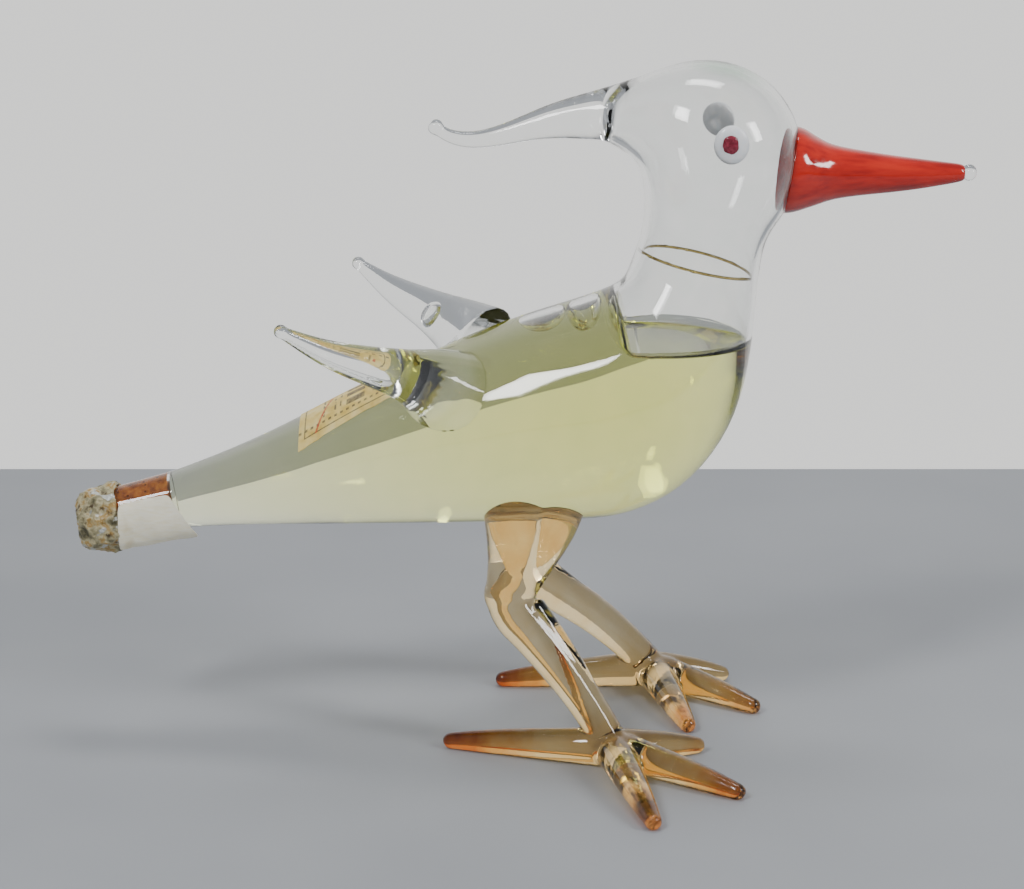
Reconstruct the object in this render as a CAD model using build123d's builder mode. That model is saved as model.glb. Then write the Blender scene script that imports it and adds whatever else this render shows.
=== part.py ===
from build123d import *
import os
from math import cos, radians, sin

os.makedirs("parts", exist_ok=True)

# A blown and lamp-worked glass bird that is a small liqueur bottle. It stands on two solid
# glass legs, its tail is the neck of the bottle, and a cork closes it.
# Frame: +X is the way the beak points, +Z is up, the toes' flats lie on Z = 0, and the
# middle plane of the bottle is Y = 0. Sizes are in millimetres.

# ---- Driving dimensions ----
wall = 1.2  # blown glass, all over
bore_radius = 3.4  # inside of the tail, where the cork sits
cork_fit = 0.05  # radial, cork in bore
cork_length = 12.2
cork_proud = 0.6  # how far the cork stands out of the mouth
mouth_radius = 4.5
mouth = Vector(-73.7, 0, 40.2)
tail_tilt = 13  # degrees that the body and tail lean above +X
filling_height = 71.6  # level of the liqueur
film = 0.1  # gap between liqueur and glass
drop_swell = 1.04
cap_radius = 6.3
cap_length = 8.8
cap_skirt = 2.6  # how far the seal reaches over the glass
flat_depth = 0.25  # how much each toe was pressed flat underneath

# The envelope is three blown bulbs that run into each other, each round about its own axis.
# Each profile is a list of (distance along the axis, outer radius).
body_profile = [
    (13.0, 5.2),
    (23.6, 6.9),
    (34.7, 9.3),
    (45.7, 12.0),
    (56.8, 14.4),
    (67.7, 16.6),
    (78.6, 18.5),
    (86.9, 19.6),
    (93.5, 20.0),
    (100.5, 18.6),
    (106.0, 15.6),
    (110.5, 11.6),
    (113.8, 6.8),
    (115.4, 1.6),
]
neck_start = Vector(28.7, 0, 68.0)
neck_tilt = 84
neck_profile = [(0.0, 9.4), (5.0, 10.6), (11.0, 11.1), (16.0, 11.1), (20.7, 10.8), (27.6, 10.6), (35.0, 11.0)]
head_start = Vector(13.6, 0, 112.0)
head_tilt = -17
head_profile = [
    (5.2, 2.5),
    (6.6, 7.4),
    (9.5, 11.5),
    (13.5, 14.3),
    (18.5, 15.3),
    (23.0, 14.9),
    (27.5, 12.7),
    (31.0, 9.8),
    (33.4, 7.2),
]
root_start = Vector(13.6, 0, 112.6)  # hollow root of the crest
root_tilt = -10
root_profile = [(0.0, 5.0), (4.4, 6.6), (8.3, 8.0), (11.0, 9.0)]

# Solid rods: each row is x, y, z, radius.
crest_path = [
    (13.6, 0, 112.6, 5.0),
    (9.7, 0, 111.9, 3.9),
    (4.5, 0, 110.8, 2.9),
    (-1.5, 0, 109.0, 2.0),
    (-7.6, 0, 107.4, 1.5),
    (-12.4, 0, 107.6, 1.2),
    (-14.6, 0, 108.9, 1.0),
]
crest_bead = (-15.4, 0, 109.8, 1.4)
beak_path = [
    (45.5, 0, 102.3, 7.4),
    (48.2, 0, 102.3, 6.4),
    (51.4, 0, 102.1, 5.2),
    (56.5, 0, 101.9, 4.1),
    (65.3, 0, 101.6, 3.1),
    (72.2, 0, 101.8, 2.2),
    (75.9, 0, 101.9, 1.7),
]
beak_bead = (77.2, 0, 101.9, 1.7)
wings = {
    "left": [(-8.5, 8.0, 70.0, 6.6), (-13.5, 13.0, 73.0, 4.2), (-22.4, 18.0, 76.5, 2.7), (-29.6, 22.5, 80.6, 1.2)],
    "right": [(-12.5, -7.5, 65.0, 6.8), (-18.6, -13.0, 68.6, 4.6), (-29.5, -18.5, 72.8, 2.9), (-40.6, -24.0, 78.9, 1.2)],
}
thighs = {
    "left": [(5.5, 8.9, 46.0, 7.6), (4.0, 10.9, 39.0, 6.7), (0.8, 12.9, 33.0, 5.1), (-1.6, 14.0, 27.5, 4.2)],
    "right": [(2.2, -8.9, 46.0, 7.8), (1.6, -10.2, 39.2, 7.0), (-0.8, -11.6, 33.2, 5.3), (-2.6, -12.0, 28.3, 4.4)],
}
shins = {
    "left": [(-1.6, 14.0, 27.5, 4.2), (4.1, 15.5, 22.0, 3.9), (12.4, 17.5, 16.2, 3.5), (23.0, 21.3, 5.6, 2.9)],
    "right": [(-2.6, -12.0, 28.3, 4.4), (0.6, -13.4, 23.6, 4.1), (6.5, -16.0, 16.6, 3.6), (14.4, -19.7, 5.6, 2.9)],
}
# Feet: the middle of the hub, and how far each toe's tip lies from it.
hubs = {"left": (24.2, 21.9), "right": (15.4, -20.2)}
hub_radius = 3.5
toes = {
    "left": {"hind": (-28.0, -0.8), "inner": (13.6, 2.4), "middle": (18.2, -15.6), "outer": (5.6, -25.5)},
    "right": {"hind": (-28.4, 8.6), "inner": (15.4, 6.2), "middle": (21.0, -15.9), "outer": (6.0, -29.4)},
}
toe_root_radius = 2.9
toe_tip_radius = 1.4

# Each eye is the cap of a ball sunk into the head, and its pupil a smaller one on top.
eye_place = (34.8, 11.5, 108.6, 4.1)
pupil_place = (34.4, 13.6, 108.7, 2.2)
patch_centre = (39.0, 0, 131.9)
patch_radius = 14.0

# Balls whose undersides are the hollows that the trapped air presses into the liqueur.
bubbles = [(3.5, -0.8, 76.4, 4.4), (11.7, -0.4, 77.2, 3.3)]
open_surface_x = 15.6  # where the open surface of the liqueur starts under the back
label_x = (-39.6, -23.0)
label_half_width = 8.1
label_thickness = 0.15
ring_centre = Vector(30.4, 0, 85.8)  # ring of dried liqueur
ring_tilt = 77
ring_width = 1.1
ring_thickness = 0.25
paper_thickness = 0.3


def across(start, tilt, distance=0.0):
    """The plane square to an axis that leans tilt degrees above +X, distance along it."""
    direction = Vector(cos(radians(tilt)), 0, sin(radians(tilt)))
    return Plane(origin=start + direction * distance, x_dir=(0, 1, 0), z_dir=direction)


def drawn_in(profile, inset):
    """The profile moved square to itself by inset, towards the axis."""
    moved = []
    for index, (along, radius) in enumerate(profile):
        ahead = profile[min(index + 1, len(profile) - 1)]
        behind = profile[max(index - 1, 0)]
        run = Vector(ahead[0] - behind[0], ahead[1] - behind[1]).normalized()
        moved.append((along + inset * run.Y, radius - inset * run.X))
    return moved


def bulb(start, tilt, profile, inset):
    """A blown bulb, round about its axis, with its wall drawn in by inset."""
    points = drawn_in(profile, inset)
    side = Plane(origin=start, x_dir=across(start, tilt).z_dir, z_dir=(0, 1, 0))
    with BuildPart() as blown:
        with BuildSketch(side):
            with BuildLine():
                Spline(*points)
                Polyline(points[-1], (points[-1][0], 0), (points[0][0], 0), points[0])
            make_face()
        revolve(axis=Axis(start, side.x_dir))
    return blown.part


def rod(path, seam, drop=True):
    """A drawn glass rod through the rows of path, each x, y, z, radius.

    The drop at its end is a touch fatter than the rod, as it is where glass is melted off.
    """
    points = [Vector(x, y, z) for x, y, z, radius in path]
    with BuildPart() as drawn:
        for index, (x, y, z, radius) in enumerate(path):
            ahead = points[min(index + 1, len(points) - 1)]
            behind = points[max(index - 1, 0)]
            with BuildSketch(Plane(origin=(x, y, z), x_dir=seam, z_dir=ahead - behind)):
                Circle(radius)
        loft()
        if drop:
            with Locations(points[-1]):
                Sphere(drop_swell * path[-1][3])
    return drawn.part


def save(piece, name):
    """Label a finished piece and write it out."""
    piece.label = name
    export_step(piece, f"parts/{name}.step")


# ---- The blown glass: one envelope from the mouth to the beak ----
mouth_plane = across(mouth, tail_tilt)
seat_end = cork_length + 2.0

with BuildPart() as cavity:
    add(bulb(mouth, tail_tilt, body_profile, wall))
    add(bulb(neck_start, neck_tilt, neck_profile, wall))
    add(bulb(head_start, head_tilt, head_profile, wall))
    add(bulb(root_start, root_tilt, root_profile, wall))
    with BuildSketch(mouth_plane):
        Circle(bore_radius)
    extrude(amount=seat_end + 1.0)

with BuildPart() as outside:
    add(bulb(mouth, tail_tilt, body_profile, 0))
    add(bulb(neck_start, neck_tilt, neck_profile, 0))
    add(bulb(head_start, head_tilt, head_profile, 0))
    add(bulb(root_start, root_tilt, root_profile, 0))
    with BuildSketch(mouth_plane):
        Circle(mouth_radius)
    with BuildSketch(across(mouth, tail_tilt, cap_skirt + 2.0)):
        Circle(mouth_radius)
    with BuildSketch(across(mouth, tail_tilt, body_profile[0][0])):
        Circle(body_profile[0][1])
    loft(ruled=True)

with BuildPart() as glass_envelope:
    add(outside.part)
    add(cavity.part, mode=Mode.SUBTRACT)
save(glass_envelope.part, "glass_envelope")
print("glass volume", round(glass_envelope.part.volume / 1000, 1), "ml")

# ---- The liqueur, with the two bubbles of air caught under the back ----
with BuildPart() as liqueur:
    add(bulb(mouth, tail_tilt, body_profile, wall + film))
    with BuildSketch(Plane.XY.offset(filling_height)):
        with Locations((open_surface_x + 50.0, 0)):
            Rectangle(100.0, 60.0)
    extrude(amount=60.0, mode=Mode.SUBTRACT)
    for x, y, z, radius in bubbles:
        with Locations((x, y, z)):
            Sphere(radius, mode=Mode.SUBTRACT)
save(liqueur.part, "liqueur")
print("liqueur volume", round(liqueur.part.volume / 1000, 1), "ml")

# ---- The ring that dried liqueur left inside the neck ----
with BuildPart() as dried_ring:
    with BuildSketch(across(ring_centre, ring_tilt)):
        Circle(14.0)
    extrude(amount=ring_width)
    add(bulb(neck_start, neck_tilt, neck_profile, wall), mode=Mode.INTERSECT)
    add(bulb(neck_start, neck_tilt, neck_profile, wall + ring_thickness), mode=Mode.SUBTRACT)
save(dried_ring.part, "dried_ring")

# ---- The thick patch on the crown, where the blowing tube was melted off ----
with BuildPart() as crown_patch:
    with Locations(patch_centre):
        Sphere(patch_radius)
    add(bulb(head_start, head_tilt, head_profile, wall), mode=Mode.INTERSECT)
save(crown_patch.part, "crown_patch")

# ---- Crest and beak ----
with BuildPart() as crest:
    add(rod(crest_path, (0, 1, 0), drop=False))
    with Locations(crest_bead[:3]):
        Sphere(crest_bead[3])
    add(outside.part, mode=Mode.SUBTRACT)
save(crest.part, "crest")

with BuildPart() as beak:
    add(rod(beak_path, (0, 1, 0), drop=False))
    add(outside.part, mode=Mode.SUBTRACT)
save(beak.part, "beak")

with BuildPart() as beak_tip:
    with Locations(beak_bead[:3]):
        Sphere(beak_bead[3])
    add(beak.part, mode=Mode.SUBTRACT)
save(beak_tip.part, "beak_tip")

# ---- Pieces that come in a left and a right ----
for side, sign in (("left", 1), ("right", -1)):
    with BuildPart() as wing:
        add(rod(wings[side], (1, 0, 0)))
        add(outside.part, mode=Mode.SUBTRACT)
    save(wing.part, f"wing_{side}")

    with BuildPart() as thigh:
        add(rod(thighs[side], (1, 0, 0)))
        add(outside.part, mode=Mode.SUBTRACT)
    save(thigh.part, f"thigh_{side}")

    hub_x, hub_y = hubs[side]
    with BuildPart() as shin:
        add(rod(shins[side], (0, 1, 0)))
        add(thigh.part, mode=Mode.SUBTRACT)
        with Locations((hub_x, hub_y, hub_radius - flat_depth)):
            Sphere(hub_radius)
        with Locations((hub_x, hub_y, -5.0)):
            Box(60, 60, 10, mode=Mode.SUBTRACT)
    save(shin.part, f"shin_{side}")

    made = [shin.part]
    for toe_name, (dx, dy) in toes[side].items():
        start_height = toe_root_radius - flat_depth
        tip_height = toe_tip_radius - flat_depth
        toe_path = [
            (hub_x, hub_y, start_height, toe_root_radius),
            (hub_x + 0.35 * dx, hub_y + 0.35 * dy, start_height - 0.3, toe_root_radius - 0.4),
            (hub_x + 0.7 * dx, hub_y + 0.7 * dy, 1.75, toe_root_radius - 1.0),
            (hub_x + dx, hub_y + dy, tip_height, toe_tip_radius),
        ]
        with BuildPart() as toe:
            add(rod(toe_path, (0, 0, 1)))
            for neighbour in made:
                add(neighbour, mode=Mode.SUBTRACT)
            with Locations((hub_x + dx / 2, hub_y + dy / 2, -5.0)):
                Box(60, 60, 10, mode=Mode.SUBTRACT)
        largest = toe.part.solids().sort_by(SortBy.VOLUME)[-1]
        save(Part(largest.wrapped), f"toe_{toe_name}_{side}")
        made.append(toe.part)

    x, y, z, radius = eye_place
    with BuildPart() as eye_white:
        with Locations((x, sign * y, z)):
            Sphere(radius)
        add(outside.part, mode=Mode.SUBTRACT)
    save(eye_white.part, f"eye_white_{side}")

    x, y, z, radius = pupil_place
    with BuildPart() as pupil:
        with Locations((x, sign * y, z)):
            Sphere(radius)
        add(eye_white.part, mode=Mode.SUBTRACT)
        add(outside.part, mode=Mode.SUBTRACT)
    save(pupil.part, f"pupil_{side}")

# ---- Cork, crumpled seal, paper strip and label at the tail ----
with BuildPart() as cork:
    with BuildSketch(across(mouth, tail_tilt, -cork_proud)):
        Circle(bore_radius - cork_fit)
    extrude(amount=cork_length)
    chamfer(cork.edges().filter_by(GeomType.CIRCLE), length=0.3)
save(cork.part, "cork")

with BuildPart() as seal_cap:
    with BuildSketch(across(mouth, tail_tilt, cap_skirt - cap_length)):
        Circle(cap_radius)
    extrude(amount=cap_length)
    fillet(seal_cap.faces().sort_by(Axis.X)[0].edges(), radius=1.6)
    with BuildSketch(across(mouth, tail_tilt, -cork_proud - 0.15)):
        Circle(4.8)
    extrude(amount=cap_skirt + 1.0, mode=Mode.SUBTRACT)
save(seal_cap.part, "seal_cap")

with BuildPart() as paper_strip:
    with BuildSketch(across(mouth, tail_tilt, 3.4)):
        Circle(6.1)
        Circle(6.1 - paper_thickness, mode=Mode.SUBTRACT)
        with Locations((-2.0, 5.0)):
            Rectangle(18.0, 10.0, mode=Mode.SUBTRACT)
    extrude(amount=12.0)
    add(outside.part, mode=Mode.SUBTRACT)
save(paper_strip.part, "paper_strip")

with BuildPart() as label:
    add(bulb(mouth, tail_tilt, body_profile, -label_thickness))
    add(bulb(mouth, tail_tilt, body_profile, 0), mode=Mode.SUBTRACT)
    label_middle = (label_x[0] + label_x[1]) / 2
    with Locations((label_middle, 0, 65.0)):
        Box(label_x[1] - label_x[0], 2 * label_half_width, 28.0, mode=Mode.INTERSECT)
save(label.part, "label")

tail_axis = mouth_plane.z_dir
print("outward tail axis", [round(value, 5) for value in (-tail_axis.X, 0, -tail_axis.Z)])
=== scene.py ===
# %% [markdown]
# # A blown glass bird, full of liqueur
#
# The bird is a little bottle, blown and drawn out in a lamp's flame. The exact parts come from a
# CAD model, which fixes every size and place. This lesson loads them as a frame and builds the
# glass, the liqueur, the cork and the papers around it, so that light passes through them as it
# does through the real ones.

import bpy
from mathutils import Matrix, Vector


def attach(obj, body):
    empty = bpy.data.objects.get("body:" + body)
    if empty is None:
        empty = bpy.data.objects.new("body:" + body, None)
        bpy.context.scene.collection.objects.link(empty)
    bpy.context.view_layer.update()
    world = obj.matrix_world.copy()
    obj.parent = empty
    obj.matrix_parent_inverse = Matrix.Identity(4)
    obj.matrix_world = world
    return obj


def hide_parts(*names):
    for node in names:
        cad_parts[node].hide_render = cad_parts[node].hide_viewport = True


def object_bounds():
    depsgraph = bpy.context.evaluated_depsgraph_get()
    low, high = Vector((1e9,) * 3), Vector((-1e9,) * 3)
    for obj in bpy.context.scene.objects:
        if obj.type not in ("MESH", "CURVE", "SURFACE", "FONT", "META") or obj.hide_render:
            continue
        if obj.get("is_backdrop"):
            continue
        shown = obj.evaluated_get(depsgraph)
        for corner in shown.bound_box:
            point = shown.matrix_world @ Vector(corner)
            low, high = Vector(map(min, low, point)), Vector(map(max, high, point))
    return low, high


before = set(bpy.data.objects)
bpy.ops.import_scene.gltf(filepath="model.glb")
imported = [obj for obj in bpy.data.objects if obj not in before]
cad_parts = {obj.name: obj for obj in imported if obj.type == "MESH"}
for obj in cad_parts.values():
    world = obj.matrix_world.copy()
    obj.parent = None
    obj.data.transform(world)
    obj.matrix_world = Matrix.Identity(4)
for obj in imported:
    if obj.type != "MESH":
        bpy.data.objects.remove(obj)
cad_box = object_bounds()

# %% [markdown]
# ## Units
#
# Blender works in metres, and a bird this small is easier to read in millimetres. So lists of sizes
# are in millimetres, and they are multiplied by MM where they reach Blender.

# %% Tools and units
from math import cos, degrees, pi, radians, sin

import bmesh
import bpy
from mathutils import Vector

MM = 0.001
WALL = 1.2  # thickness of the blown glass, mm
BORE = 3.4  # radius of the hole the cork sits in, mm
SIDES = 32  # sides of a ring before it is subdivided
DOUBLES = 1e-6  # points nearer than this are one point, m
NEAR = 1e-5  # close enough to a plane to lie on it, m
print("one unit is a metre, and", 1 / MM, "mm")

# %% [markdown]
# ## Working by hand, from code
#
# Every operator acts on what is selected, and the frame's own parts are selected when it loads.
# So each piece starts with an empty selection. Pieces are finished with modifiers, which are
# applied so that the piece is plain mesh. These few helpers are what a modeller's hands do all the
# time: select, go into edit mode, apply, join, cut, and turn the normals out.

# %% Small helpers
def start_fresh():
    """Leave edit mode and select nothing."""
    if bpy.context.object and bpy.context.object.mode != "OBJECT":
        bpy.ops.object.mode_set(mode="OBJECT")
    bpy.ops.object.select_all(action="DESELECT")


def select(*pieces):
    """Select the pieces, the last of them active."""
    start_fresh()
    for piece in pieces:
        piece.select_set(True)
        bpy.context.view_layer.objects.active = piece


def edit(piece, action="SELECT"):
    """Open a piece in edit mode, with everything or nothing selected."""
    select(piece)
    bpy.ops.object.mode_set(mode="EDIT")
    bpy.ops.mesh.select_all(action=action)


def name_piece(name):
    """Name the active object, and settle its place into its mesh."""
    piece = bpy.context.object
    select(piece)
    bpy.ops.object.transform_apply(location=True, rotation=True, scale=True)
    piece.name = name
    piece.data.name = name
    return piece


def apply_modifier(piece, kind, **settings):
    """Add one modifier, set it and apply it."""
    select(piece)
    bpy.ops.object.modifier_add(type=kind)
    modifier = piece.modifiers[-1]
    for key, value in settings.items():
        setattr(modifier, key, value)
    bpy.ops.object.modifier_apply(modifier=modifier.name)


def outward(piece):
    """Merge doubles, turn every face outwards and shade the piece smooth."""
    edit(piece)
    bpy.ops.mesh.remove_doubles(threshold=DOUBLES)
    bpy.ops.mesh.normals_make_consistent(inside=False)
    bpy.ops.object.mode_set(mode="OBJECT")
    bpy.ops.object.shade_smooth()


def crease(piece, angle):
    """Shade smooth, but keep edges sharper than angle degrees."""
    select(piece)
    bpy.ops.object.shade_smooth_by_angle(angle=radians(angle))


def open_edges():
    """In edit mode, select the edges of a surface that no second face closes."""
    bpy.ops.mesh.select_all(action="DESELECT")
    bpy.ops.mesh.select_non_manifold(use_wire=False, use_multi_face=False, use_verts=False)


def join(name, *pieces):
    """Join pieces into one mesh."""
    select(*pieces)
    bpy.ops.object.join()
    piece = bpy.context.object
    piece.name = name
    piece.data.name = name
    return piece


def cut(piece, cutter, operation="DIFFERENCE"):
    """Cut a piece with another one, and remove the cutter."""
    apply_modifier(piece, "BOOLEAN", object=cutter, operation=operation, solver="EXACT")
    bpy.data.objects.remove(cutter)


def displace(piece, texture, strength, mid_level=0.5):
    """Push a piece in and out by a texture, strength millimetres from black to white."""
    apply_modifier(
        piece, "DISPLACE", texture=texture, texture_coords="LOCAL",
        strength=strength * MM, mid_level=mid_level,
    )


def faces_of(piece):
    """How many faces a piece has, for the lesson's printed notes."""
    return f"{piece.name}: {len(piece.data.polygons)} faces"


# %% [markdown]
# ## The envelope's rings
#
# The blower starts from one glass tube. The tail is what is left of that tube, the body and the
# head are bubbles in it, and the crest is its far end, drawn out until it closes. So the whole
# envelope can be modelled as one tube as well: a ring at the mouth, extruded ring by ring along
# the bird. Each ring has a place in the middle plane, a half width in that plane, a half width
# across it, and the tilt of its axis above +X.

# %% Rings of the outside, in millimetres
BODY_RINGS = [
    (-73.7, 40.2, 4.5, 4.5, 12),
    (-71.0, 40.9, 4.5, 4.5, 12),
    (-63.0, 42.6, 5.05, 5.05, 12),
    (-61.5, 42.9, 5.15, 5.15, 12),
    (-50.7, 45.2, 6.9, 6.9, 12),
    (-39.9, 47.7, 9.3, 9.3, 12),
    (-29.2, 50.5, 11.95, 11.95, 13),
    (-18.4, 53.1, 14.4, 14.4, 12.5),
    (-7.8, 55.7, 16.7, 16.7, 12),
    (2.9, 58.1, 18.5, 18.5, 10),
    (10.9, 59.5, 19.6, 19.5, 6),
    (17.0, 61.1, 20.2, 20.1, 5),
    (22.6, 63.8, 19.5, 19.5, 16),
    (26.8, 69.0, 17.2, 17.4, 31),
    (28.9, 74.7, 14.8, 15.0, 45),
    (30.1, 82.5, 11.9, 12.0, 63),
    (30.8, 88.6, 10.7, 10.7, 76),
]
HEAD_RINGS = [
    (31.8, 93.6, 10.9, 10.8, 79),
    (33.5, 97.9, 12.9, 12.8, 81),
    (34.2, 102.0, 14.3, 14.6, 88),
    (33.7, 107.0, 14.6, 15.2, 103),
    (31.0, 111.0, 13.9, 14.4, 117),
    (27.1, 113.2, 12.3, 12.5, 130),
    (22.9, 113.9, 10.0, 10.3, 140),
    (19.5, 113.4, 7.8, 8.1, 147),
    (16.5, 112.8, 5.9, 6.0, 156),
    (13.6, 112.2, 4.6, 4.6, 170),
]
CREST_RINGS = [
    (9.7, 111.5, 3.8, 3.8, 188),
    (6.2, 111.1, 3.2, 3.2, 189),
    (2.7, 110.3, 2.6, 2.6, 194),
    (-0.7, 109.3, 2.1, 2.1, 197),
    (-4.2, 108.3, 1.75, 1.75, 194),
    (-7.6, 107.6, 1.5, 1.5, 186),
    (-10.8, 107.6, 1.35, 1.35, 172),
    (-13.2, 108.3, 1.15, 1.15, 155),
    (-14.5, 109.1, 1.0, 1.0, 142),
    (-15.1, 109.6, 1.4, 1.4, 140),
    (-15.7, 110.1, 1.4, 1.4, 140),
    (-16.2, 110.5, 0.8, 0.8, 140),
]
SEALED_END = [(14.6, 112.3, 2.6, 2.6, 168), (13.9, 112.2, 1.2, 1.2, 170)]
print(len(BODY_RINGS + HEAD_RINGS + CREST_RINGS), "rings along the outside")

# %% [markdown]
# ## Growing a tube ring by ring
#
# `grow_tube` does what a modeller does with E, S and R: extrude the open ring a step ahead,
# scale it, turn it, and go on. The ends are closed with a face, or left open where another
# surface joins on. A subdivision surface then rounds it off. That pulls a ring of 32 points in
# by about half a percent, so the rings start that much larger.

# %% The tube tool
SWELL = 3 / (2 + cos(2 * pi / SIDES))


def grow_tube(name, rings, inset=0.0, close_start=True, close_end=True, levels=2):
    """Grow a round tube along the middle plane through rings, drawn in by inset."""
    start_fresh()
    x, z, flat, deep, tilt = rings[0]
    centre = Vector((x, 0, z)) * MM
    size = Vector((flat - inset, deep - inset, flat - inset)) * MM * SWELL
    bpy.ops.mesh.primitive_circle_add(
        vertices=SIDES, radius=1.0, location=centre, rotation=(0, radians(90 - tilt), 0)
    )
    piece = name_piece(name)
    bpy.ops.object.mode_set(mode="EDIT")
    bpy.ops.mesh.select_all(action="SELECT")
    bpy.ops.transform.resize(value=size, center_override=centre)
    if close_start:
        bpy.ops.mesh.edge_face_add()
        bpy.ops.mesh.poke()
        open_edges()
    for x, z, flat, deep, new_tilt in rings[1:]:
        step = Vector((x, 0, z)) * MM - centre
        centre = centre + step
        new_size = Vector((flat - inset, deep - inset, flat - inset)) * MM * SWELL
        bpy.ops.mesh.extrude_edges_move(TRANSFORM_OT_translate={"value": step})
        ratio = (new_size.x / size.x, new_size.y / size.y, new_size.x / size.x)
        bpy.ops.transform.resize(value=ratio, center_override=centre)
        turn = radians(new_tilt - tilt)
        bpy.ops.transform.rotate(value=turn, orient_axis="Y", center_override=centre)
        size, tilt = new_size, new_tilt
    if close_end:
        bpy.ops.mesh.edge_face_add()
        bpy.ops.mesh.poke()
    bpy.ops.object.mode_set(mode="OBJECT")
    outward(piece)
    if levels:
        apply_modifier(piece, "SUBSURF", levels=levels, render_levels=levels)
    return piece


OUTSIDE = BODY_RINGS + HEAD_RINGS + CREST_RINGS
print("tube tool ready, rings swell by", round(100 * (SWELL - 1), 2), "percent")

# %% [markdown]
# ## The blown glass
#
# The outside runs from the mouth to the drop at the end of the crest. The inside is the same tube
# drawn in by the wall, and it ends where the crest turns solid. Two closed skins make one glass
# wall when the inner one faces the other way, so the inner tube is turned inside out and bridged
# to the outer one at the mouth, where the glass was cut and fire polished. The first rings of the
# inside are a straight bore, which was reamed for the cork.

# %% Outer and inner skin, bridged at the mouth
STRAIGHT = 3  # rings of the straight bore
outer_skin = grow_tube("blown_glass", OUTSIDE, close_start=False)


def inside_rings(larger=0.0):
    """The inside of the glass as rings: a straight bore for the cork, then the wall's inner side."""
    drawn_in = []
    for number, (x, z, flat, deep, tilt) in enumerate(BODY_RINGS + HEAD_RINGS[:-1]):
        flat, deep = (BORE, BORE) if number < STRAIGHT else (flat - WALL, deep - WALL)
        drawn_in.append((x, z, flat + larger, deep + larger, tilt))
    return drawn_in


inner_skin = grow_tube("inner_skin", inside_rings() + SEALED_END, close_start=False)
edit(inner_skin)
bpy.ops.mesh.flip_normals()
bpy.ops.object.mode_set(mode="OBJECT")
blown_glass = join("blown_glass", inner_skin, outer_skin)
edit(blown_glass, "DESELECT")
open_edges()
bpy.ops.mesh.bridge_edge_loops()
bpy.ops.object.mode_set(mode="OBJECT")
bpy.ops.object.shade_smooth()
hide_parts("glass_envelope", "crest", "crown_patch")
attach(blown_glass, "bottle")
print(faces_of(blown_glass))

# %% [markdown]
# ## The liqueur
#
# A filled bottle is seen through three surfaces: air to glass, glass to liqueur, and the liqueur's
# own skin. If the two skins lay a hair apart there would be air between them, and it would shine
# like a mirror. So the liqueur's skin is sunk a tenth of a millimetre into the glass. Two air
# bubbles, caught under the back when the bottle was laid down, are hollowed out of it with balls.

# %% Fill the bottle
SUNK = 0.12  # how far the liqueur's skin lies inside the glass, mm
AT_CORK = [(-62.15, 42.75, 3.9, 3.9, 12), (-62.1, 42.76, 3.95, 3.95, 12), (-62.0, 42.8, 4.0, 4.0, 12)]
UP_TO = 16  # rings from the cork to the neck
filled = [ring for ring in inside_rings(SUNK) if ring[0] > AT_CORK[-1][0]][:UP_TO]
liqueur = grow_tube("liqueur_fill", AT_CORK + filled)


def ball(name, centre, radii, segments=48, rings=24):
    """An ellipsoid at centre, both in millimetres."""
    start_fresh()
    bpy.ops.mesh.primitive_uv_sphere_add(
        segments=segments, ring_count=rings, radius=1.0,
        location=Vector(centre) * MM, scale=Vector(radii) * MM,
    )
    piece = name_piece(name)
    bpy.ops.object.shade_smooth()
    return piece


BUBBLES = {
    "rear": ((3.6, -0.8, 75.4), (4.3, 4.2, 3.5)),
    "front": ((11.2, -0.6, 76.0), (3.3, 4.6, 4.4)),
}
for name, (centre, radii) in BUBBLES.items():
    cut(liqueur, ball(f"bubble_{name}", centre, radii))
print(faces_of(liqueur), "with its bubbles")

# %% [markdown]
# ## The surface of the liqueur
#
# A liquid climbs the glass it wets, so its surface isn't a plane but a shallow dish with a thin
# bright rim. It is quickest to shape the air above: a tube like the neck, cut flat below at the
# height of the rim, with its underside inset and pushed down step by step into the dish. That air
# is then cut out of the liqueur.

# %% Let the air in above the surface, with a meniscus
LEVEL = 71.6  # height of the middle of the surface, mm
RIM = 1.7  # how far the rim climbs, mm
PAST = 0.04  # how far the air reaches past the liqueur's skin, so the cut is clean, mm
AIR_START = [
    (16.0, 61.4, 17.6, 7.0, 3), (16.7, 61.4, 19.3, 13.0, 3),
    (18.0, 61.9, 20.1, 17.5, 6), (20.4, 62.6, 20.0, 20.1, 11),
]
DISH = [(0.12, 0.55), (0.25, 0.45), (0.45, 0.35), (0.8, 0.25), (1.2, 0.1)]  # inwards and down, mm
air = grow_tube("air", AIR_START + BODY_RINGS[-5:] + HEAD_RINGS[:4], inset=WALL - SUNK - PAST)
edit(air)
rim_height = (LEVEL + RIM) * MM
bpy.ops.mesh.bisect(plane_co=(0, 0, rim_height), plane_no=(0, 0, 1), clear_inner=True, use_fill=True)
bpy.ops.mesh.select_all(action="SELECT")
bpy.ops.mesh.normals_make_consistent(inside=False)
mesh = bmesh.from_edit_mesh(air.data)
for face in mesh.faces:
    at_rim = abs(face.calc_center_median().z - rim_height) < NEAR
    face.select_set(face.normal.z < -0.99 and at_rim)
bmesh.update_edit_mesh(air.data)
print("faces on the surface:", sum(face.select for face in mesh.faces))
for inwards, down in DISH:
    bpy.ops.mesh.inset(thickness=inwards * MM, depth=down * MM)
bpy.ops.object.mode_set(mode="OBJECT")
cut(liqueur, air)
crease(liqueur, 50)
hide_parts("liqueur")
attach(liqueur, "bottle")
print(faces_of(liqueur))

# %% [markdown]
# ## Rods drawn in the flame
#
# Wings, legs and toes are drawn from solid rod. A curve with a radius at every point is the
# quickest way to such a taper. Where rods are melted into each other, their meshes are joined and
# voxel remeshed, which welds them, and a little smoothing gives the soft webs that surface
# tension leaves between them. What would reach into the bottle is cut off inside its wall.

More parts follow.
